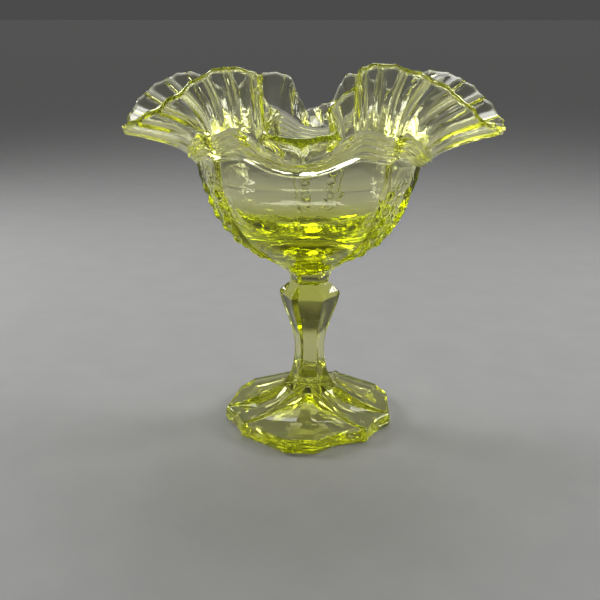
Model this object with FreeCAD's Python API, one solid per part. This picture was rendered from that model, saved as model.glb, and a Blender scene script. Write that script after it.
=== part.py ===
import FreeCAD, Part
import math
import os

os.makedirs("parts", exist_ok=True)

# A pressed glass pedestal dish: foot, faceted stem, round bowl and a hand-crimped ruffled rim.
# Millimetres, +Z up, origin in the middle of the foot's resting face.
# Azimuth 0 is the front (-Y) and grows towards the right (+X).

# ---- foot: three wide scooped panels with three narrow panels between them ----
# the outline's points as (azimuth, radius, whether a ridge runs up from there)
FOOT_OUTLINE = [
    (-45, 40.3, True), (-9, 44.0, False), (9, 43.6, False), (27, 37.5, False), (45, 40.8, True),
    (60, 37.8, False), (75, 40.3, True), (111, 40.0, False), (129, 40.0, False), (165, 40.3, True),
    (180, 38.1, False), (195, 40.3, True), (231, 40.0, False), (249, 39.0, False), (285, 40.3, True),
    (300, 37.9, False)]
WIDE_PANEL_HALF = 45           # half angle of a wide panel at the edge
REPEAT = 120                   # the panels repeat three times
FOOT_EDGE_TOP = 6.5            # height of the foot's upper edge
FOOT_EDGE_CREASE = 2.4         # mould line on the side of the foot
FOOT_BOTTOM_INSET = 0.3        # the side tucks in below the mould line
FOOT_TOP = 15.0                # height where the foot hands over to the stem
FOOT_RIDGE_LIFT = 8.0          # makes the ridges stand above the scooped panels
HOLLOW_RADIUS = 33.0           # hollow under the foot
HOLLOW_HEIGHT = 8.5

# ---- stem: six facets, (height, radius to the facet corners) ----
SHAFT_SECTIONS = [(15.0, 12.9), (18.0, 10.9), (21.0, 9.3), (25.0, 8.0), (31.0, 7.1), (36.0, 7.1)]
BALUSTER_SECTIONS = [(36.0, 7.1), (42.5, 8.0), (49.0, 10.2), (55.0, 12.5), (61.3, 14.3)]
KNOP_SECTIONS = [(61.3, 14.3), (62.1, 14.1), (63.4, 13.2), (65.3, 11.0), (67.0, 8.6)]
NECK_SECTIONS = [(67.0, 8.6), (70.0, 9.3), (72.8, 10.9)]
FACETS = 6
FACET_MIDDLE = 0.82            # radius to a facet's hollowed middle, as a share of the radius to its corners

# ---- bowl: a turned shell with a thick floor, (radius, height) ----
BOWL_OUTSIDE = [
    (10.9, 72.8), (17.2, 77.4), (24.0, 82.4), (32.4, 88.6), (38.4, 95.5), (42.9, 103.0), (45.6, 110.8),
    (48.4, 118.0)]
BOWL_INSIDE = [
    (44.9, 118.0), (42.6, 111.5), (39.6, 105.5), (34.5, 100.0), (27.0, 96.0), (15.0, 93.9), (0.0, 93.5)]

# ---- ribbed band: a wall that rises in waves, ringed with fine ribs near its top ----
BAND_TOP = [
    (0, 129.5), (12, 132.0), (22, 138.0), (30, 141.0), (43, 137.0), (54, 138.0), (70, 130.0),
    (90, 124.5)]
BAND_TOP_RADIUS = 54.0
BAND_RIBS = 4
BAND_RIB_ZONE = 0.58           # ribs cover this share of the band's height, below its top
BAND_RIB_PROUD = 1.2
WALL = 3.4                     # glass thickness of the band
LIP_WALL = 2.6                 # the rim thins to this towards the lip

# ---- ruffled rim: stations round the lip ----
# each is (azimuth at the band, azimuth at the lip, radius, height, position counted in crimps)
RIM_RIGHT = [
    (3, 3, 76.5, 140, 0), (8, 9, 76, 139, 0.5), (11.5, 12.5, 75, 139.8, 0.8),
    (14, 14.8, 71.5, 142.3, 1), (16, 15.3, 66.5, 146, 1.4), (18, 14.7, 61.5, 149.5, 1.75),
    (19.5, 13.4, 57.5, 151.9, 2), (21.5, 17, 58.4, 155.5, 2.4), (23.5, 20.7, 60, 158, 2.7),
    (25.5, 23.8, 61, 159.9, 3), (27, 24.1, 61.5, 163.6, 3.6), (28.5, 24.6, 62, 166, 4),
    (34, 31, 63.5, 167.2, 5), (40, 39, 66.5, 165, 6), (47, 47, 70, 161.4, 7),
    (57.5, 57.2, 75.2, 153.6, 8), (69, 65, 80.5, 143.5, 9), (79, 76, 84.5, 139, 10),
    (91, 90.5, 86, 136.8, 11), (101, 101, 86, 141, 12), (109, 109, 82, 148.9, 13),
    (117, 117, 76.5, 155.6, 14), (128, 128, 70, 158.6, 15), (138, 138, 65.8, 154.2, 16),
    (150, 150, 62.6, 151.8, 17), (158, 160, 60.8, 153.8, 17.6), (163, 166, 58.6, 157.2, 18),
    (166, 168.5, 58, 152.5, 18.4), (168.5, 170, 59, 147, 18.7), (172, 174, 63, 142.4, 19),
    (176, 179, 70, 140.2, 19.6), (180, 182, 75, 137.2, 20)]
RIM_LEFT = [
    (-176, -174.8, 77, 134.4, 20.5), (-172, -171.7, 76.5, 134.6, 21), (-168.5, -169, 71, 141.4, 21.5),
    (-165, -165.8, 64.5, 147.5, 22), (-161.5, -164, 60, 153, 22.6), (-158.5, -163.3, 59, 156, 23),
    (-149, -152, 60.2, 157, 24), (-143, -145, 60.4, 152.4, 24.6), (-138, -140, 61.2, 151, 25),
    (-125, -125, 65, 153, 26), (-117, -118, 70, 158.2, 27), (-110.5, -111.7, 77, 155.4, 28),
    (-105, -106.8, 84, 149.6, 29), (-99, -100.4, 87, 141.8, 30), (-89, -89, 84.5, 135.6, 31),
    (-75, -74, 82.5, 137.4, 32), (-61, -58, 79.5, 142.8, 33), (-51.5, -49, 75, 148.5, 34),
    (-43, -41, 70, 155.8, 35), (-35, -34, 65.5, 162.4, 36), (-27, -26, 63.2, 165.8, 37),
    (-17, -15.8, 61, 164.6, 38), (-15.5, -15.4, 60.8, 162.2, 38.5), (-14, -15, 60.3, 159.4, 39),
    (-12, -12.5, 58.5, 155, 39.5), (-9.8, -9.9, 57, 151.3, 40), (-8, -11.3, 62, 148, 40.4),
    (-6.5, -11.8, 67, 144.8, 40.75), (-4.5, -10.3, 72, 141.7, 41), (-2, -6.2, 75.5, 139.9, 41.5)]
STEPS_PER_STATION = 6
SECTORS = 12                   # the band and rim surfaces are made of this many faces round the dish
CRIMPS = 42                    # pinched creases round the rim, with flat panels between them
CRIMP_FLATNESS = 0.8           # 1 makes the panels between creases quite flat at the lip
CRIMP_DEPTH = 0.5              # how far the middle of a panel is pressed in
CREASE_THICKNESS = 0.9         # extra glass on each side of a crease
CREASE_WIDTH = 0.11            # half width of that extra glass, counted in crimps
LIP_SCALLOP = 1.0              # how far the lip dips between two creases
LIP_ROUNDING = 1.5             # the fire-polished lip stands this far beyond the wall
RUFFLE_SHARES = (0, 0.12, 0.3, 0.5, 0.7, 0.88, 1)


def point(azimuth, radius, height):
    """A point from its azimuth in degrees, radius and height."""
    angle = math.radians(azimuth)
    return FreeCAD.Vector(radius * math.sin(angle), -radius * math.cos(angle), height)


def polygon(points):
    """A closed wire of straight edges."""
    return Part.makePolygon(points + [points[0]])


def facet_radius(azimuth, corner_radius):
    """Radius of the stem's six-sided outline, whose facets are slightly hollowed."""
    middle_radius = corner_radius * FACET_MIDDLE
    half = 180 / FACETS
    turn = math.radians(abs((azimuth + half) % (2 * half) - half))
    rest = math.radians(half) - turn
    across = middle_radius * math.sin(turn) + corner_radius * math.sin(rest)
    return middle_radius * corner_radius * math.sin(math.radians(half)) / across


# ---------------------------------------------------------------- foot

def stem_azimuth(azimuth):
    """Where a line from the foot's edge meets the stem."""
    local = (azimuth + WIDE_PANEL_HALF) % REPEAT - WIDE_PANEL_HALF
    if local <= WIDE_PANEL_HALF:
        return azimuth - local + local * 30 / WIDE_PANEL_HALF
    return azimuth - local + 30 + (local - WIDE_PANEL_HALF) * 2


def foot_loop(edge_share, inset, height, ridge_lift):
    """One ring of the foot: edge_share 0 is the stem's outline, 1 is the foot's outline."""
    loop = []
    for edge_azimuth, edge_radius, ridge in FOOT_OUTLINE:
        inner_azimuth = stem_azimuth(edge_azimuth)
        inner_radius = facet_radius(inner_azimuth, SHAFT_SECTIONS[0][1])
        azimuth = inner_azimuth + (edge_azimuth - inner_azimuth) * edge_share ** 0.5
        radius = inner_radius + (edge_radius - inset - inner_radius) * edge_share
        loop.append(point(azimuth, radius, height + ridge_lift * ridge))
    return polygon(loop)


def make_foot():
    """The flared foot with scooped panels and a hollow underside."""
    rise = FOOT_TOP - FOOT_EDGE_TOP
    rings = [foot_loop(1, FOOT_BOTTOM_INSET, 0, 0), foot_loop(1, 0, FOOT_EDGE_CREASE, 0),
             foot_loop(1, 0, FOOT_EDGE_TOP, 0)]
    side = Part.makeLoft(rings, False, True)
    top_rings = [rings[2]]
    for share in (0.8, 0.55, 0.3, 0.12):
        height = FOOT_EDGE_TOP + rise * (1 - share) ** 3.2
        top_rings.append(foot_loop(share, 0, height, FOOT_RIDGE_LIFT * share * (1 - share)))
    top_rings.append(foot_loop(0, 0, FOOT_TOP, 0))
    top = Part.makeLoft(top_rings, False, False)
    caps = [Part.Face(rings[0]), Part.Face(top_rings[-1])]
    shell = Part.makeShell(side.Faces + top.Faces + caps)
    shell.sewShape()
    body = Part.makeSolid(shell)
    hollow_curve = Part.BSplineCurve()
    hollow_points = [(HOLLOW_RADIUS, 0), (HOLLOW_RADIUS * 0.72, 2.6), (HOLLOW_RADIUS * 0.36, 5.6),
                     (0, HOLLOW_HEIGHT)]
    hollow_curve.interpolate([FreeCAD.Vector(radius, 0, height) for radius, height in hollow_points])
    apex = FreeCAD.Vector(0, 0, HOLLOW_HEIGHT)
    base = FreeCAD.Vector(0, 0, 0)
    rim_corner = FreeCAD.Vector(HOLLOW_RADIUS, 0, 0)
    profile = Part.Wire([hollow_curve.toShape(), Part.makeLine(apex, base), Part.makeLine(base, rim_corner)])
    hollow = Part.Face(profile).revolve(base, FreeCAD.Vector(0, 0, 1), 360)
    return body.cut(hollow)


# ---------------------------------------------------------------- stem

def facet_loop(corner_radius, height):
    """The stem's outline, with a facet facing the front: corners and facet middles in turn."""
    turns = [180 / FACETS * i for i in range(2 * FACETS)]
    return polygon([point(turn, facet_radius(turn, corner_radius), height) for turn in turns])


def make_faceted(sections, straight=False):
    """A faceted length of the stem through (height, radius) sections."""
    return Part.makeLoft([facet_loop(radius, height) for height, radius in sections], True, straight)


# ---------------------------------------------------------------- bowl

def make_bowl():
    """The turned bowl with a thick floor."""
    outside = [FreeCAD.Vector(radius, 0, height) for radius, height in BOWL_OUTSIDE]
    inside = [FreeCAD.Vector(radius, 0, height) for radius, height in BOWL_INSIDE]
    foot_centre = FreeCAD.Vector(0, 0, outside[0].z)
    outer_curve = Part.BSplineCurve()
    outer_curve.interpolate(outside)
    inner_curve = Part.BSplineCurve()
    inner_curve.interpolate(inside)
    profile = Part.Wire([Part.makeLine(foot_centre, outside[0]), outer_curve.toShape(),
                         Part.makeLine(outside[-1], inside[0]), inner_curve.toShape(),
                         Part.makeLine(inside[-1], foot_centre)])
    return Part.Face(profile).revolve(FreeCAD.Vector(0, 0, 0), FreeCAD.Vector(0, 0, 1), 360)


# ---------------------------------------------------------------- band and rim

def blend(before, start, end, after, share):
    """Smooth value between start and end, using their neighbours."""
    slope_in = (end - before) / 2
    slope_out = (after - start) / 2
    gap = end - start
    return (start + slope_in * share + (3 * gap - 2 * slope_in - slope_out) * share ** 2
            + (slope_in + slope_out - 2 * gap) * share ** 3)


def band_top_height(azimuth):
    """Height of the band's top edge; the wave repeats in every quarter."""
    quarter = abs((azimuth + 90) % 180 - 90)
    last = len(BAND_TOP) - 1
    index = max(i for i in range(last) if BAND_TOP[i][0] <= quarter)
    heights = [BAND_TOP[abs(i) if i <= last else 2 * last - i][1] for i in range(index - 1, index + 3)]
    share = (quarter - BAND_TOP[index][0]) / (BAND_TOP[index + 1][0] - BAND_TOP[index][0])
    return blend(*heights, share)


def rim_stations():
    """Smoothed stations round the lip: (azimuth at the band, azimuth, radius, height, crimp position)."""
    stations = RIM_RIGHT + [(base + 360, azimuth + 360, *rest) for base, azimuth, *rest in RIM_LEFT]
    count = len(stations)
    result = []
    for i in range(count):
        near = []
        for k in (i - 1, i, i + 1, i + 2):
            lap = k // count
            base, azimuth, radius, height, phase = stations[k % count]
            near.append((base + 360 * lap, azimuth + 360 * lap, radius, height, phase + CRIMPS * lap))
        for step in range(STEPS_PER_STATION):
            share = step / STEPS_PER_STATION
            result.append(tuple(blend(*column, share) for column in zip(*near)))
    return result


def flatten_panels(lips, phases):
    """Draw the lip nearly straight from crease to crease; a crease is at every whole number."""
    creases = []
    for k in range(CRIMPS):
        after = next(i for i, phase in enumerate(phases) if phase >= k)
        share = (k - phases[after - 1]) / (phases[after] - phases[after - 1])
        creases.append(lips[after - 1] + (lips[after] - lips[after - 1]) * share)
    flattened = []
    for lip, phase in zip(lips, phases):
        before = math.floor(phase)
        start, end = creases[before % CRIMPS], creases[(before + 1) % CRIMPS]
        straight = start + (end - start) * (phase - before)
        flattened.append(lip + (straight - lip) * CRIMP_FLATNESS)
    return flattened


def normals(rows):
    """Outward normals of a grid of rows that close on themselves."""
    result = []
    last = len(rows) - 1
    for j, row in enumerate(rows):
        count = len(row)
        line = []
        for i in range(count):
            along = row[(i + 1) % count] - row[i - 1]
            up = rows[min(j + 1, last)][i] - rows[max(j - 1, 0)][i]
            line.append(along.cross(up).normalize())
        result.append(line)
    return result


def thicken(rows, thickness):
    """The inner rows, one glass thickness inside the outer rows."""
    return [[p - n * thickness for p, n in zip(row, line)] for row, line in zip(rows, normals(rows))]


def closed_faces(rows, degree):
    """Smooth faces, one per sector, through rows of poles that close on themselves."""
    count = len(rows[0])
    spans = len(rows) - degree
    ends = [degree + 1] + [1] * (spans - 1) + [degree + 1]
    surface = Part.BSplineSurface()
    poles = [[row[i] for row in rows] for i in range(count)]
    surface.buildFromPolesMultsKnots(poles, [1] * (count + 1), ends, list(range(count + 1)),
                                     list(range(spans + 1)), True, False, 3, degree)
    faces = []
    for i in range(SECTORS):
        sector = surface.copy()
        sector.segment(i * count / SECTORS, (i + 1) * count / SECTORS, 0, spans)
        faces.append(sector.toShape())
    return faces


def ring_solid(outer, inner, top):
    """A closed ring between outer and inner rows; top is a row above the wall, or None for a plain edge."""
    upper = [outer[-1], top, inner[-1]] if top else [outer[-1], inner[-1]]
    faces = (closed_faces(outer, 3) + closed_faces(inner, 3) + closed_faces([outer[0], inner[0]], 1)
             + closed_faces(upper, len(upper) - 1))
    shell = Part.makeShell(faces)
    shell.sewShape()
    solid = Part.makeSolid(shell)
    if solid.Volume < 0:
        solid.reverse()
    return solid


def band_rows(stations):
    """Outer rows of the band without ribs, from the bowl's edge to the band's top edge."""
    bowl_radius, bowl_top = BOWL_OUTSIDE[-1]
    rib_step = BAND_RIB_ZONE / (2 * BAND_RIBS)
    shares = [0, 0.2] + [1 - BAND_RIB_ZONE + rib_step * i for i in range(2 * BAND_RIBS + 1)]
    rows = []
    for share in shares:
        radius = bowl_radius + (BAND_TOP_RADIUS - bowl_radius) * share ** 2
        climb = 1.25 * share - 0.25 * share ** 2
        row = []
        for station in stations:
            rise = band_top_height(station[0]) - bowl_top
            row.append(point(station[0], radius, bowl_top + rise * climb))
        rows.append(row)
    return rows


def add_ribs(rows):
    """Push every second row of the rib zone outwards."""
    outward = normals(rows)
    ribbed = [list(row) for row in rows]
    for j in range(3, len(rows) - 1, 2):
        ribbed[j] = [p + n * BAND_RIB_PROUD for p, n in zip(rows[j], outward[j])]
    return ribbed


def ruffle_rows(band_edge, lips, distances):
    """Plain rows of the ruffle, from the band's top edge to the lip, which dips between creases."""
    rows = []
    for share in RUFFLE_SHARES:
        row = []
        for edge, lip, distance in zip(band_edge, lips, distances):
            reach = lip - edge
            dip = LIP_ROUNDING + LIP_SCALLOP * (1 - (2 * distance) ** 2)
            shortened = share * (1 - share * dip / reach.Length)
            outwards = shortened - 0.1 * math.sin(math.pi * shortened)
            upwards = shortened + 0.06 * math.sin(math.pi * shortened)
            row.append(edge + FreeCAD.Vector(reach.x * outwards, reach.y * outwards, reach.z * upwards))
        rows.append(row)
    return rows


def rim_rows(stations, band_edge):
    """Outer and inner rows of the ruffle, with the crimps pressed in."""
    lips = [point(azimuth, radius, height) for base, azimuth, radius, height, phase in stations]
    phases = [station[4] for station in stations]
    distances = [abs(phase - round(phase)) for phase in phases]
    plain = ruffle_rows(band_edge, flatten_panels(lips, phases), distances)
    outer = []
    inner = []
    for share, row, line in zip(RUFFLE_SHARES, plain, normals(plain)):
        growth = min(1, share / 0.55)
        wall = WALL - (WALL - LIP_WALL) * growth
        outer_row = []
        inner_row = []
        for p, n, distance in zip(row, line, distances):
            fold = -CRIMP_DEPTH * (1 - (1 - 2 * distance) ** 2)
            pinch = CREASE_THICKNESS * math.exp(-(distance / CREASE_WIDTH) ** 2)
            outer_row.append(p + n * growth * (fold + pinch))
            inner_row.append(p - n * (wall + growth * (pinch - fold)))
        outer.append(outer_row)
        inner.append(inner_row)
    return outer, inner


def lip_row(outer, inner, below_outer):
    """Poles of the rounded lip, above the middle of the wall."""
    row = []
    for p, q, b in zip(outer, inner, below_outer):
        row.append((p + q) * 0.5 + (p - b).normalize() * 2 * LIP_ROUNDING)
    return row


def export(shape, name):
    """Write one part file."""
    shape.exportStep("parts/" + name + ".step")
    print(name, shape.ShapeType, shape.isValid(), len(shape.Solids), round(shape.Volume), shape.BoundBox)


stations = rim_stations()
band_plain = band_rows(stations)
band_inner = thicken(band_plain, WALL)
band_inner[0] = [point(station[0], BOWL_INSIDE[0][0], BOWL_OUTSIDE[-1][1]) for station in stations]
band_outer = add_ribs(band_plain)
rim_outer, rim_inner = rim_rows(stations, band_plain[-1])
rim_inner[0] = band_inner[-1]
lip = lip_row(rim_outer[-1], rim_inner[-1], rim_outer[-2])

export(make_foot(), "foot")
export(make_faceted(SHAFT_SECTIONS), "stem_shaft")
export(make_faceted(BALUSTER_SECTIONS), "stem_baluster")
export(make_faceted(KNOP_SECTIONS, True), "stem_knop")
export(make_faceted(NECK_SECTIONS), "neck")
export(make_bowl(), "bowl")
export(ring_solid(band_outer, band_inner, None), "ribbed_band")
export(ring_solid(rim_outer, rim_inner, lip), "ruffled_rim")
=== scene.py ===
import math

import bpy
import numpy as np
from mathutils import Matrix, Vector


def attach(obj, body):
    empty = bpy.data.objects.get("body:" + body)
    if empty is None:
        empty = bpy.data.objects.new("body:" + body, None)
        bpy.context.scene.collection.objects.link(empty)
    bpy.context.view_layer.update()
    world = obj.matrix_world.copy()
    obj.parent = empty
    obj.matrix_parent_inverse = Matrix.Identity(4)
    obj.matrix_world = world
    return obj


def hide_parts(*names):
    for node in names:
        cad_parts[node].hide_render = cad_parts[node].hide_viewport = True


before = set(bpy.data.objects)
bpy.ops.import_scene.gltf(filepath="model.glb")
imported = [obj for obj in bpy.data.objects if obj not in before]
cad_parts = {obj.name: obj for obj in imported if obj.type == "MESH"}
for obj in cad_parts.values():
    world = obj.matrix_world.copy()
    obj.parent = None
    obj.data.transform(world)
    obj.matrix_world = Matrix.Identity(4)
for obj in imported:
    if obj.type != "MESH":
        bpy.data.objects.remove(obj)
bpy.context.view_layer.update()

# A pressed yellow-green glass pedestal dish. Lengths are millimetres here and are written as metres.
# Azimuth 0 is the front (-Y) and grows towards the right (+X).
MM = 0.001
SEAM = 0.03                    # neighbouring pieces run this far into each other, so no air gap shows

# ---- foot: three wide scooped panels with three narrow panels between them ----
FOOT_EDGE_TOP = 6.5            # height of the foot's upper edge
FOOT_EDGE_CREASE = 2.4         # height of the mould line on the foot's side
FOOT_BOTTOM_INSET = 0.3        # the side tucks in below the mould line
FOOT_TOP = 15.0                # height where the foot hands over to the stem
WIDE_HALF = 45.0               # half angle of a wide panel at the edge
REPEAT = 120.0                 # the foot's panels and the bowl's pattern repeat three times
# corners of the foot's outline as (azimuth, radius, how far the edge to the next corner bows in)
FOOT_OUTLINE = [
    (-45, 40.3, 0.2), (-9, 44, 0), (9, 43.6, 2.6), (45, 40.8, 1.4), (75, 40.3, 0), (111, 40, 0),
    (129, 40, 0), (165, 40.3, 0.8), (195, 40.3, 0), (231, 40, 0), (249, 39, 0), (285, 40.3, 1.0),
    (315, 40.3, 0)]
FOOT_HOLLOW = [(0.3, 8.5), (11.9, 5.6), (23.8, 2.6), (33.0, 0)]    # underside, (radius, height)
FOOT_FLARE = 2.2               # higher keeps the foot low for longer before it climbs to the stem
FOOT_STEPS = 720               # mesh columns round the foot
SCOOP_DEPTH = 2.0              # how far the panels dip below the ridges
RIDGE_WIDTH = 2.3
RIDGE_PROUD = 0.9

# ---- stem: six facets, (height, radius to the facet corners) ----
STEM = [
    (15.0, 12.9), (18.0, 10.9), (21.0, 9.3), (25.0, 8.0), (31.0, 7.1), (36.0, 7.1), (42.5, 8.0),
    (49.0, 10.2), (55.0, 12.5), (61.3, 14.3)]
STEM_SHOULDER = [(62.1, 14.1), (63.4, 13.2), (65.3, 11.0), (67.0, 8.6)]
NECK = [(67.0, 8.6), (70.0, 9.3), (72.8, 10.9)]
FACETS = 6
FACET_CRISPNESS = 70           # higher is a sharper corner between facets
FACET_HOLLOW = 0.045           # how far the facets are hollowed, as a share of the stem's radius
STEM_STEPS = 360               # mesh columns round the stem

# ---- bowl, (radius, height) ----
BOWL_OUTSIDE = [
    (10.9, 72.8), (17.2, 77.4), (24.0, 82.4), (32.4, 88.6), (38.4, 95.5), (42.9, 103.0), (45.6, 110.8),
    (48.4, 118.0)]
BOWL_INSIDE = [
    (44.9, 118.0), (42.6, 111.5), (39.6, 105.5), (34.5, 100.0), (27.0, 96.0), (15.0, 93.9), (0.6, 93.5)]
BOWL_STEPS = 640               # mesh columns round the bowl
COLUMN_HALF = 15.0             # half angle of the decorated columns between the plain panels
BORDER_GAP = 2.4               # angle from a column's border to the fainter line inside it
BORDER_PROUD = 1.0
PATTERN_FOOT = 77.0            # height where the borders fade in
BEADS = 6
BEAD_OFFSET = 8.5              # angle from a column's middle to each chain of beads
BEAD_TOP = 112.5               # height of the top bead
BEAD_PITCH = 5.8
BEAD_SIZE = 2.4                # half width of the top bead
BEAD_SHRINK = 0.16             # each bead is this much smaller than the one above
BEAD_PROUD = 1.8
SPINE_PROUD = 0.5              # raised line down the middle of a column
SPINE_ENDS = (80.0, 114.0)
ARCH_CENTRE = 116.0
ARCH_SIZES = (3.2, 5.6, 8.0)   # radii of the nested arches at the top of a column
ARCH_PROUD = 0.45

# ---- ribbed band ----
BAND_TOP = [
    (0, 129.5), (12, 132.0), (22, 138.0), (30, 141.0), (43, 137.0), (54, 138.0), (70, 130.0),
    (90, 124.5)]
BAND_TOP_RADIUS = 54.0
BAND_RIBS = 4
BAND_RIB_ZONE = 0.58           # ribs cover this share of the band's height, below its top
BAND_RIB_PROUD = 1.2
WALL = 3.4                     # glass thickness of the band
LIP_WALL = 2.6                 # the wall thins towards the lip

# ---- ruffled rim: stations round the lip ----
# each is (azimuth at the band, azimuth at the lip, radius, height, position counted in crimps)
RIM_RIGHT = [
    (3, 3, 76.5, 140, 0), (8, 9, 76, 139, 0.5), (11.5, 12.5, 75, 139.8, 0.8),
    (14, 14.8, 71.5, 142.3, 1), (16, 15.3, 66.5, 146, 1.4), (18, 14.7, 61.5, 149.5, 1.75),
    (19.5, 13.4, 57.5, 151.9, 2), (21.5, 17, 58.4, 155.5, 2.4), (23.5, 20.7, 60, 158, 2.7),
    (25.5, 23.8, 61, 159.9, 3), (27, 24.1, 61.5, 163.6, 3.6), (28.5, 24.6, 62, 166, 4),
    (34, 31, 63.5, 167.2, 5), (40, 39, 66.5, 165, 6), (47, 47, 70, 161.4, 7),
    (57.5, 57.2, 75.2, 153.6, 8), (69, 65, 80.5, 143.5, 9), (79, 76, 84.5, 139, 10),
    (91, 90.5, 86, 136.8, 11), (101, 101, 86, 141, 12), (109, 109, 82, 148.9, 13),
    (117, 117, 76.5, 155.6, 14), (128, 128, 70, 158.6, 15), (138, 138, 65.8, 154.2, 16),
    (150, 150, 62.6, 151.8, 17), (158, 160, 60.8, 153.8, 17.6), (163, 166, 58.6, 157.2, 18),
    (166, 168.5, 58, 152.5, 18.4), (168.5, 170, 59, 147, 18.7), (172, 174, 63, 142.4, 19),
    (176, 179, 70, 140.2, 19.6), (180, 182, 75, 137.2, 20)]
RIM_LEFT = [
    (-176, -174.8, 77, 134.4, 20.5), (-172, -171.7, 76.5, 134.6, 21), (-168.5, -169, 71, 141.4, 21.5),
    (-165, -165.8, 64.5, 147.5, 22), (-161.5, -164, 60, 153, 22.6), (-158.5, -163.3, 59, 156, 23),
    (-149, -152, 60.2, 157, 24), (-143, -145, 60.4, 152.4, 24.6), (-138, -140, 61.2, 151, 25),
    (-125, -125, 65, 153, 26), (-117, -118, 70, 158.2, 27), (-110.5, -111.7, 77, 155.4, 28),
    (-105, -106.8, 84, 149.6, 29), (-99, -100.4, 87, 141.8, 30), (-89, -89, 84.5, 135.6, 31),
    (-75, -74, 82.5, 137.4, 32), (-61, -58, 79.5, 142.8, 33), (-51.5, -49, 75, 148.5, 34),
    (-43, -41, 70, 155.8, 35), (-35, -34, 65.5, 162.4, 36), (-27, -26, 63.2, 165.8, 37),
    (-17, -15.8, 61, 164.6, 38), (-15.5, -15.4, 60.8, 162.2, 38.5), (-14, -15, 60.3, 159.4, 39),
    (-12, -12.5, 58.5, 155, 39.5), (-9.8, -9.9, 57, 151.3, 40), (-8, -11.3, 62, 148, 40.4),
    (-6.5, -11.8, 67, 144.8, 40.75), (-4.5, -10.3, 72, 141.7, 41), (-2, -6.2, 75.5, 139.9, 41.5)]
STEPS_PER_STATION = 10
CRIMPS = 42                    # pinched creases round the lip, with flat panels between them
CRIMP_FLATNESS = 0.8           # 1 makes the panels between creases quite flat at the lip
CRIMP_DEPTH = 0.5              # how far the middle of a panel is pressed in
CREASE_THICKNESS = 0.9         # extra glass on each side of a crease
CREASE_WIDTH = 0.11            # half width of that extra glass, counted in crimps
LIP_SCALLOP = 1.0              # how far the lip dips between two creases
LIP_ROUNDING = 1.5             # the fire-polished lip stands this far beyond the wall
RUFFLE_ROWS = 25               # mesh rows from the band to the lip

# ---- light: (name, place, what it faces, size, watts), lengths in metres ----
SOFT_BOXES = [
    ("high_back_light", (0.0, 0.3, 0.7), (0, 0, 0.12), 0.4, 2.4),
    ("left_light", (-0.6, 0.2, 0.42), (0, 0, 0), 0.25, 2.6),
    ("right_light", (0.6, 0.2, 0.42), (0, 0, 0), 0.25, 2.3)]
# brightness of the surroundings by height above the horizon, 1 being straight up
SURROUNDINGS = [(0.0, 0.07), (0.12, 0.07), (0.3, 0.28), (0.6, 0.25), (1.0, 0.1)]


# ---------------------------------------------------------------- curves and grids

def polar(azimuth, radius, height):
    """Points from azimuths in degrees, radii and heights, which may be arrays."""
    angle = np.radians(azimuth)
    radius = np.asarray(radius, float)
    return np.stack(np.broadcast_arrays(radius * np.sin(angle), -radius * np.cos(angle), height), -1)


def smooth_path(points, steps):
    """A smooth open path through points, with steps samples per span."""
    pts = np.array(points, float)
    ends = np.vstack([2 * pts[0] - pts[1], pts, 2 * pts[-1] - pts[-2]])
    share = np.arange(steps)[:, None] / steps
    spans = []
    for before, start, end, after in zip(ends, ends[1:], ends[2:], ends[3:]):
        spans.append(hermite(before, start, end, after, share))
    return np.vstack(spans + [pts[-1:]])


def hermite(before, start, end, after, share):
    """Smooth value between start and end, using their neighbours."""
    slope_in = (end - before) / 2
    slope_out = (after - start) / 2
    gap = end - start
    return (start + slope_in * share + (3 * gap - 2 * slope_in - slope_out) * share ** 2
            + (slope_in + slope_out - 2 * gap) * share ** 3)


def normals(rows):
    """Outward normals of a grid of rows that close on themselves."""
    along = np.roll(rows, -1, 1) - np.roll(rows, 1, 1)
    up = np.gradient(rows, axis=0)
    cross = np.cross(along, up)
    return cross / np.linalg.norm(cross, axis=2, keepdims=True)


def glass_piece(name, rows, start_pole=None, end_pole=None, loop=False):
    """A closed mesh from rows of points round the axis, ended by poles, or looped back to the first row."""
    count = rows.shape[1]
    verts = rows.reshape(-1, 3)
    around = np.arange(count)
    nxt = (around + 1) % count
    faces = []
    total = rows.shape[0]
    for j in range(total if loop else total - 1):
        low = j * count
        high = ((j + 1) % total) * count
        faces.append(np.stack([low + around, low + nxt, high + nxt, high + around], 1))
    faces = np.vstack(faces).tolist()
    if start_pole is not None:
        faces += [[len(verts), int(b), int(a)] for a, b in zip(around, nxt)]
        verts = np.vstack([verts, start_pole])
    if end_pole is not None:
        last = (total - 1) * count
        faces += [[len(verts), int(last + a), int(last + b)] for a, b in zip(around, nxt)]
        verts = np.vstack([verts, end_pole])
    mesh = bpy.data.meshes.new(name)
    mesh.from_pydata((verts * MM).tolist(), [], faces)
    mesh.shade_smooth()
    mesh.set_sharp_from_angle(angle=math.radians(50))
    piece = bpy.data.objects.new(name, mesh)
    bpy.context.scene.collection.objects.link(piece)
    return piece


# ---------------------------------------------------------------- foot

def chord_radius(u, start, end):
    """Radius of the straight line between two (azimuth, radius) points at azimuth u."""
    (a, ra), (b, rb) = start, end
    span = math.radians(b - a)
    into = np.radians(u - a)
    return ra * rb * math.sin(span) / (ra * np.sin(into) + rb * np.sin(span - into))


def foot_edge_radius(u):
    """The foot's outline at azimuth u: straight and hollow sides between its corners."""
    radius = np.zeros_like(u)
    for (start, start_radius, bow), (end, end_radius, _) in zip(FOOT_OUTLINE, FOOT_OUTLINE[1:]):
        inside = (u >= start) & (u <= end)
        share = np.clip((u - start) / (end - start), 0, 1)
        straight = chord_radius(u, (start, start_radius), (end, end_radius))
        radius = np.where(inside, straight - bow * np.sin(math.pi * share), radius)
    return radius


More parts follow.
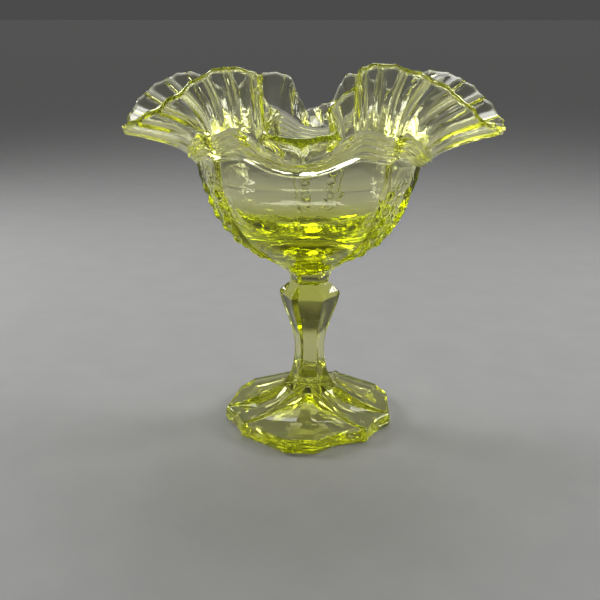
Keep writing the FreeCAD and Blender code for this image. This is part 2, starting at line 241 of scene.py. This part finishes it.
def facet_radius(azimuth, corner_radius):
    """Radius of the stem's hexagon; its corners are lightly rounded and one facet faces the front."""
    flat = corner_radius * math.cos(math.pi / FACETS)
    total = 0
    for k in range(FACETS):
        facing = np.cos(np.radians(azimuth - k * 360 / FACETS))
        total = total + np.clip(facing, 0, 1) ** FACET_CRISPNESS
    half = 180 / FACETS
    across = ((azimuth + half) % (2 * half) - half) / half
    return flat * total ** (-1 / FACET_CRISPNESS) - FACET_HOLLOW * corner_radius * (1 - across ** 2)


def stem_azimuth(u):
    """Where a line on the foot at edge azimuth u meets the stem."""
    turn = np.floor((u + WIDE_HALF) / REPEAT) * REPEAT
    local = u - turn
    wide = local * 30 / WIDE_HALF
    narrow = 30 + (local - WIDE_HALF) * 2
    return turn + np.where(local <= WIDE_HALF, wide, narrow)


def foot_row(u, share, height, inset=0.0):
    """One ring of the foot; share 0 is the stem's hexagon and share 1 the outline."""
    inner_azimuth = stem_azimuth(u)
    inner = facet_radius(inner_azimuth, STEM[0][1])
    azimuth = inner_azimuth + (u - inner_azimuth) * share ** 0.5
    outer = foot_edge_radius(u) - inset
    return azimuth, inner + (outer - inner) * share, height


def make_foot():
    """The flared foot with scooped panels, ridges between them and a hollow underside."""
    u = np.linspace(-WIDE_HALF, 360 - WIDE_HALF, FOOT_STEPS, endpoint=False)
    local = (u + WIDE_HALF) % REPEAT - WIDE_HALF
    across = np.where(local <= WIDE_HALF, (local + WIDE_HALF) / (2 * WIDE_HALF),
                      (local - WIDE_HALF) / (REPEAT - 2 * WIDE_HALF))
    dip = 1 - (2 * across - 1) ** 2
    ridges = (-WIDE_HALF, WIDE_HALF, REPEAT - WIDE_HALF)
    to_ridge = np.min([np.abs(local - ridge_azimuth) for ridge_azimuth in ridges], axis=0)
    rows = []
    for radius, height in smooth_path(FOOT_HOLLOW, 8):
        rows.append(polar(u, radius, height))
    for inset in (4.0, FOOT_BOTTOM_INSET + 0.5):
        rows.append(polar(*foot_row(u, 1.0, 0.0, inset)))
    side = [(FOOT_BOTTOM_INSET, 0.4), (0.1, 1.6), (-0.2, FOOT_EDGE_CREASE), (0.15, FOOT_EDGE_CREASE + 0.3),
            (0.1, FOOT_EDGE_TOP - 1.5), (0.2, FOOT_EDGE_TOP - 0.9), (0.5, FOOT_EDGE_TOP - 0.4),
            (1.0, FOOT_EDGE_TOP - 0.1)]
    for inset, height in side:
        rows.append(polar(*foot_row(u, 1.0, height, inset)))
    for share in np.linspace(0.965, 0, 40):
        azimuth, radius, _ = foot_row(u, share, 0)
        ridge_height = FOOT_EDGE_TOP + (FOOT_TOP - FOOT_EDGE_TOP) * (1 - share) ** FOOT_FLARE
        fade = math.sin(math.pi * min(1, share / 0.9) ** 0.8) if share < 0.9 else 0
        scoop = SCOOP_DEPTH * fade
        distance = np.radians(to_ridge) * radius
        ends = min(1, share / 0.1) * min(1, (1 - share) / 0.05)
        bead = RIDGE_PROUD / (1 + (distance / RIDGE_WIDTH * 2) ** 6) * ends
        height = ridge_height - scoop * dip + bead
        rows.append(polar(azimuth, radius, height))
    rows[-1][:, 2] = FOOT_TOP
    apex = [0, 0, FOOT_HOLLOW[0][1] + 0.02]
    return glass_piece("foot_glass", np.array(rows), start_pole=apex, end_pole=[0, 0, FOOT_TOP])


# ---------------------------------------------------------------- stem

def make_stem():
    """The faceted stem, its shoulder and the neck under the bowl."""
    azimuth = np.linspace(0, 360, STEM_STEPS, endpoint=False)
    path = np.vstack([smooth_path(STEM, 8), smooth_path(STEM_SHOULDER, 10), smooth_path(NECK, 8)[1:]])
    rows = np.array([polar(azimuth, facet_radius(azimuth, radius), height) for height, radius in path])
    rows[0, :, 2] -= SEAM
    rows[-1, :, 2] += SEAM
    bottom = [0, 0, STEM[0][0] - SEAM]
    top = [0, 0, NECK[-1][0] + SEAM]
    return glass_piece("stem_glass", rows, start_pole=bottom, end_pole=top)


# ---------------------------------------------------------------- bowl and rim

def band_top_height(azimuth):
    """Height of the band's top edge; the wave repeats in every quarter."""
    quarter = np.abs((azimuth + 90) % 180 - 90)
    steps = 24
    knots = np.array(BAND_TOP, float)
    mirrored = np.vstack([[-knots[1, 0], knots[1, 1]], knots, [180 - knots[-2, 0], knots[-2, 1]]])
    share = np.arange(steps)[:, None] / steps
    path = np.vstack([hermite(*mirrored[i:i + 4], share) for i in range(len(knots) - 1)] + [knots[-1:]])
    return np.interp(quarter, path[:, 0], path[:, 1])


def rim_stations():
    """Smoothed stations round the lip: azimuth at the band, azimuth, radius, height, crimp position."""
    lap = np.array([360, 360, 0, 0, CRIMPS])
    stations = np.array(RIM_RIGHT + RIM_LEFT, float)
    stations[len(RIM_RIGHT):, :2] += 360
    looped = np.vstack([stations[-1:] - lap, stations, stations[:2] + lap])
    share = np.arange(STEPS_PER_STATION)[:, None] / STEPS_PER_STATION
    return np.vstack([hermite(*looped[i:i + 4], share) for i in range(len(stations))])


def wall_rows(base, shares):
    """Outer rows of the wall above the bowl's edge, up to the band's top edge at share 1."""
    bowl_radius, bowl_top = BOWL_OUTSIDE[-1]
    rise = band_top_height(base) - bowl_top
    rows = []
    for share in shares:
        flare = (BAND_TOP_RADIUS - bowl_radius) * share ** 2
        rows.append(polar(base, bowl_radius + flare, bowl_top + rise * (1.25 * share - 0.25 * share ** 2)))
    return np.array(rows)


def ridge(distance, width):
    """A smooth raised line: 1 on the line, falling to 0 at about its width."""
    return np.exp(-(distance / width) ** 2)


def bead_chains(from_middle, radius, height):
    """Two chains of drop-shaped beads down a column, smaller towards the foot."""
    chain = np.radians(BEAD_OFFSET) * radius
    out = 0
    for k in range(BEADS):
        size = BEAD_SIZE - BEAD_SHRINK * k
        above_bead = (height - (BEAD_TOP - BEAD_PITCH * k)) / (size * 1.25)
        from_bead = ((from_middle - chain) / (size * (1 - 0.25 * above_bead))) ** 2 + above_bead ** 2
        out = out + BEAD_PROUD * np.clip(1 - from_bead, 0, 1) ** 0.7
    return out


def arches(from_middle, height):
    """Nested arches at the top of a column."""
    reach = np.sqrt(from_middle ** 2 + (np.maximum(height - ARCH_CENTRE, 0) * 1.1) ** 2)
    above = np.clip((height - ARCH_CENTRE + 3) / 3, 0, 1)
    return sum(ARCH_PROUD * ridge(reach - size, 0.55) * above for size in ARCH_SIZES)


def relief(azimuth, radius, height):
    """How far the bowl's pattern stands out: bordered columns with beads, a spine and arches."""
    from_middle = np.radians(np.abs(azimuth % REPEAT - REPEAT / 2)) * radius
    border = ridge(from_middle - np.radians(COLUMN_HALF) * radius, 0.8)
    inner_line = ridge(from_middle - np.radians(COLUMN_HALF - BORDER_GAP) * radius, 0.6)
    borders = BORDER_PROUD * (border + 0.8 * inner_line) * np.clip((height - PATTERN_FOOT) / 6, 0, 1)
    low, high = SPINE_ENDS
    spine_fade = np.clip((height - low) / 6, 0, 1) * np.clip((high - height) / 4, 0, 1)
    spine = SPINE_PROUD * ridge(from_middle, 0.7) * spine_fade
    return borders + bead_chains(from_middle, radius, height) + arches(from_middle, height) + spine


def add_relief(rows, azimuth):
    """Push the pattern out of plain rows."""
    radius = np.hypot(rows[..., 0], rows[..., 1])
    depth = relief(azimuth[None, :], radius, rows[..., 2])
    return rows + normals(rows) * depth[..., None]


def make_bowl():
    """The bowl, from the neck to the lowest rib, with its pattern outside and a thick floor."""
    azimuth = np.linspace(0, 360, BOWL_STEPS, endpoint=False)
    outside = smooth_path(BOWL_OUTSIDE, 12)
    outer = np.array([polar(azimuth, radius, height) for radius, height in outside[:-1]])
    lower_band = wall_rows(azimuth, np.linspace(0, 1 - BAND_RIB_ZONE, 10))
    plain = np.concatenate([outer, lower_band])
    band_inner = lower_band - normals(plain)[-len(lower_band):] * WALL
    inside = smooth_path(BOWL_INSIDE, 5)
    band_inner[0] = polar(azimuth, *inside[0])
    band_inner[1] = (band_inner[0] + band_inner[2]) / 2
    inner = np.array([polar(azimuth, radius, height) for radius, height in inside[1:]])
    rows = np.concatenate([add_relief(plain, azimuth), band_inner[::-1], inner])
    bottom = [0, 0, BOWL_OUTSIDE[0][1]]
    floor_middle = [0, 0, BOWL_INSIDE[-1][1]]
    return glass_piece("bowl_glass", rows, start_pole=bottom, end_pole=floor_middle)


def flatten_panels(lips, phase):
    """Draw the lip nearly straight from crease to crease; a crease is at every whole number of the phase."""
    before = np.floor(phase)
    share = (phase - before)[:, None]
    start, end = (np.stack([np.interp(at, phase, column, period=CRIMPS) for column in lips.T], 1)
                  for at in (before, before + 1))
    return lips + CRIMP_FLATNESS * (start + (end - start) * share - lips)


def make_rim(stations):
    """The ribbed band and the crimped ruffle above it, with a rounded lip."""
    base = stations[:, 0]
    rib_rows = 8 * BAND_RIBS
    rib_shares = np.arange(rib_rows + 1) / rib_rows
    band = wall_rows(base, 1 - BAND_RIB_ZONE + BAND_RIB_ZONE * rib_shares)
    lips = polar(stations[:, 1], stations[:, 2], stations[:, 3])
    phase = stations[:, 4]
    crease = np.abs(phase - np.round(phase))
    lips = flatten_panels(lips, phase)
    edge = band[-1]
    ruffle_shares = np.linspace(0, 1, RUFFLE_ROWS + 1)[1:]
    reach = lips - edge
    dip = LIP_ROUNDING + LIP_SCALLOP * (1 - (2 * crease) ** 2)
    short = 1 - dip / np.linalg.norm(reach, axis=1)
    ruffle = []
    for share in ruffle_shares:
        share = share * (1 - share + share * short)[:, None]
        outwards = share - 0.1 * np.sin(math.pi * share)
        upwards = share + 0.06 * np.sin(math.pi * share)
        ruffle.append(edge + reach * np.hstack([outwards, outwards, upwards]))
    plain = np.concatenate([band, np.array(ruffle)])
    outward = normals(plain)
    growth = np.concatenate([np.zeros(len(band)), np.minimum(1, ruffle_shares / 0.55)])[:, None, None]
    fold = -CRIMP_DEPTH * (1 - (1 - 2 * crease) ** 2)
    pinch = CREASE_THICKNESS * np.exp(-(crease / CREASE_WIDTH) ** 2)
    ribs = np.concatenate([0.5 - 0.5 * np.cos(2 * math.pi * BAND_RIBS * rib_shares), np.zeros(len(ruffle))])
    outer = plain + outward * (growth * (fold + pinch)[None, :, None] + BAND_RIB_PROUD * ribs[:, None, None])
    wall = WALL - (WALL - LIP_WALL) * growth
    inner = plain - outward * (wall + growth * (pinch - fold)[None, :, None])
    top_out, top_in = outer[-1], inner[-1]
    up = plain[-1] - plain[-2]
    up = up / np.linalg.norm(up, axis=1, keepdims=True)
    middle, half = (top_out + top_in) / 2, (top_out - top_in) / 2
    lip = [middle + half * math.cos(turn) + up * LIP_ROUNDING * math.sin(turn)
           for turn in np.linspace(0, math.pi, 9)[1:-1]]
    drop = outer[1] - outer[0]
    drop = drop / np.linalg.norm(drop, axis=1, keepdims=True) * SEAM
    outer[0] -= drop
    inner[0] -= drop
    rows = np.concatenate([outer, np.array(lip), inner[::-1]])
    return glass_piece("rim_glass", rows, loop=True)


# ---------------------------------------------------------------- material

def uranium_glass():
    """Clear yellow-green glass: pale where thin, deep where thick, with pressed glass's faint ripple."""
    material = bpy.data.materials.new("yellow_green_glass")
    material.use_nodes = True
    nodes, links = material.node_tree.nodes, material.node_tree.links
    nodes.clear()
    output = nodes.new("ShaderNodeOutputMaterial")
    shader = nodes.new("ShaderNodeBsdfPrincipled")
    shader.inputs["Transmission Weight"].default_value = 1.0
    shader.inputs["IOR"].default_value = 1.5
    place = nodes.new("ShaderNodeTexCoord")

    streaks = nodes.new("ShaderNodeTexNoise")
    streaks.inputs["Scale"].default_value = 60.0
    streaks.inputs["Detail"].default_value = 4.0
    links.new(place.outputs["Object"], streaks.inputs["Vector"])
    tint = nodes.new("ShaderNodeValToRGB")
    tint.color_ramp.elements[0].position = 0.3
    tint.color_ramp.elements[0].color = (0.975, 0.98, 0.94, 1)
    tint.color_ramp.elements[1].position = 0.75
    tint.color_ramp.elements[1].color = (0.99, 0.99, 0.97, 1)
    links.new(streaks.outputs["Fac"], tint.inputs["Fac"])
    links.new(tint.outputs["Color"], shader.inputs["Base Color"])

    wear = nodes.new("ShaderNodeTexNoise")
    wear.inputs["Scale"].default_value = 220.0
    wear.inputs["Detail"].default_value = 6.0
    links.new(place.outputs["Object"], wear.inputs["Vector"])
    gloss = nodes.new("ShaderNodeMapRange")
    gloss.inputs["To Min"].default_value = 0.0
    gloss.inputs["To Max"].default_value = 0.045
    links.new(wear.outputs["Fac"], gloss.inputs["Value"])
    links.new(gloss.outputs["Result"], shader.inputs["Roughness"])

    ripple = nodes.new("ShaderNodeTexNoise")
    ripple.inputs["Scale"].default_value = 95.0
    ripple.inputs["Detail"].default_value = 2.0
    ripple.inputs["Distortion"].default_value = 0.6
    links.new(place.outputs["Object"], ripple.inputs["Vector"])
    bump = nodes.new("ShaderNodeBump")
    bump.inputs["Strength"].default_value = 0.35
    bump.inputs["Distance"].default_value = 0.0006
    links.new(ripple.outputs["Fac"], bump.inputs["Height"])
    links.new(bump.outputs["Normal"], shader.inputs["Normal"])

    body = nodes.new("ShaderNodeVolumeAbsorption")
    body.inputs["Color"].default_value = (0.94, 0.955, 0.2, 1)
    body.inputs["Density"].default_value = 90.0
    links.new(shader.outputs["BSDF"], output.inputs["Surface"])
    links.new(body.outputs["Volume"], output.inputs["Volume"])
    return material


# ---------------------------------------------------------------- stage

def floor_material():
    """A pale matt table top."""
    material = bpy.data.materials.new("pale_table")
    material.use_nodes = True
    nodes, links = material.node_tree.nodes, material.node_tree.links
    shader = nodes["Principled BSDF"]
    grain = nodes.new("ShaderNodeTexNoise")
    grain.inputs["Scale"].default_value = 40.0
    grain.inputs["Detail"].default_value = 8.0
    place = nodes.new("ShaderNodeTexCoord")
    links.new(place.outputs["Object"], grain.inputs["Vector"])
    shade = nodes.new("ShaderNodeValToRGB")
    shade.color_ramp.elements[0].color = (0.3, 0.3, 0.3, 1)
    shade.color_ramp.elements[1].color = (0.35, 0.35, 0.343, 1)
    links.new(grain.outputs["Fac"], shade.inputs["Fac"])
    links.new(shade.outputs["Color"], shader.inputs["Base Color"])
    shader.inputs["Roughness"].default_value = 0.6
    return material


def make_floor():
    """A flat table top, well past the picture's edges and just clear of the foot."""
    half, height = 20.0, -0.0002
    corners = [(-half, -half, height), (half, -half, height), (half, half, height), (-half, half, height)]
    mesh = bpy.data.meshes.new("table_top")
    mesh.from_pydata(corners, [], [(0, 1, 2, 3)])
    table = bpy.data.objects.new("table_top", mesh)
    bpy.context.scene.collection.objects.link(table)
    table.data.materials.append(floor_material())
    return table


def soft_light(name, place, aim, size, watts):
    """A large square soft box."""
    data = bpy.data.lights.new(name, "AREA")
    data.size = size
    data.energy = watts
    light = bpy.data.objects.new(name, data)
    light.location = place
    light.rotation_euler = (Vector(aim) - Vector(place)).to_track_quat("-Z", "Y").to_euler()
    bpy.context.scene.collection.objects.link(light)
    return light


def studio_world():
    """Dim surroundings with a soft bright belt above the horizon, which draws the edges of the glass."""
    world = bpy.data.worlds.new("studio")
    bpy.context.scene.world = world
    world.use_nodes = True
    nodes, links = world.node_tree.nodes, world.node_tree.links
    place = nodes.new("ShaderNodeTexCoord")
    split = nodes.new("ShaderNodeSeparateXYZ")
    ramp = nodes.new("ShaderNodeValToRGB")
    ramp.color_ramp.elements.remove(ramp.color_ramp.elements[0])
    for height, grey in SURROUNDINGS[:-1]:
        ramp.color_ramp.elements.new(height).color = (grey, grey, grey, 1)
    overhead = SURROUNDINGS[-1][1]
    ramp.color_ramp.elements[-1].color = (overhead, overhead, overhead, 1)
    links.new(place.outputs["Generated"], split.inputs["Vector"])
    links.new(split.outputs["Z"], ramp.inputs["Fac"])
    links.new(ramp.outputs["Color"], nodes["Background"].inputs["Color"])


def place_camera():
    """The camera, a little right of the front and above the rim, looking down at the dish."""
    azimuth = math.radians(5.5)
    distance, height, pitch, yaw = 0.400, 0.186, math.radians(17.8), math.radians(0.64)
    data = bpy.data.cameras.new("camera")
    data.sensor_width = 36.0
    data.lens = 54.0
    camera = bpy.data.objects.new("camera", data)
    camera.location = (distance * math.sin(azimuth), -distance * math.cos(azimuth), height)
    camera.rotation_euler = (math.pi / 2 - pitch, 0, azimuth + yaw)
    bpy.context.scene.collection.objects.link(camera)
    bpy.context.scene.camera = camera


stations = rim_stations()
glass = uranium_glass()
built = {
    make_foot(): ["foot"],
    make_stem(): ["stem_shaft", "stem_baluster", "stem_knop", "neck"],
    make_bowl(): ["bowl"],
    make_rim(stations): ["ribbed_band", "ruffled_rim"],
}
for piece, replaced in built.items():
    piece.data.materials.append(glass)
    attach(piece, "root")
    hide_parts(*replaced)

table = make_floor()
for box in SOFT_BOXES:
    soft_light(*box)
studio_world()
place_camera()
scene = bpy.context.scene
scene.view_settings.view_transform = "Standard"
scene.cycles.max_bounces = 24
scene.cycles.transmission_bounces = 24
scene.cycles.glossy_bounces = 12
